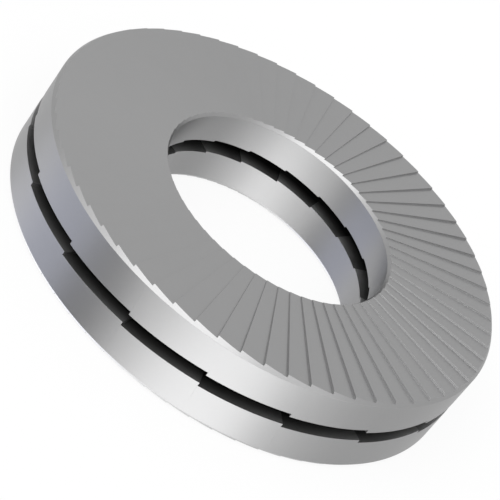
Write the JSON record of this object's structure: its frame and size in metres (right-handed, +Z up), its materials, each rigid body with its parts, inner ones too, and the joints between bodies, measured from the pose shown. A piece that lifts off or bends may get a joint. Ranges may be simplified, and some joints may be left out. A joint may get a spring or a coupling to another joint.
{
  "type": "wedge lock washer pair",
  "caption": "Pair of thick flat lock washers held face to face, with radial serrations outside and stepped cam ramps between them.",
  "frame": {"origin": "on the bore's axis, in the plane of the serration crests that the pair lies on", "axes": "+Z up the bore's axis through both washers; +X through the middle of one cam and one serration of each washer"},
  "size_m": [0.0132, 0.0132, 0.0025],
  "materials": {
    "washer_steel": "satin grey zinc flake coating on hardened steel",
    "adhesive": "dull set adhesive"
  },
  "bodies": {
    "root": {"lower_washer": "washer_steel", "upper_washer": "washer_steel", "bond_ring": "adhesive"}
  },
  "joints": []
}
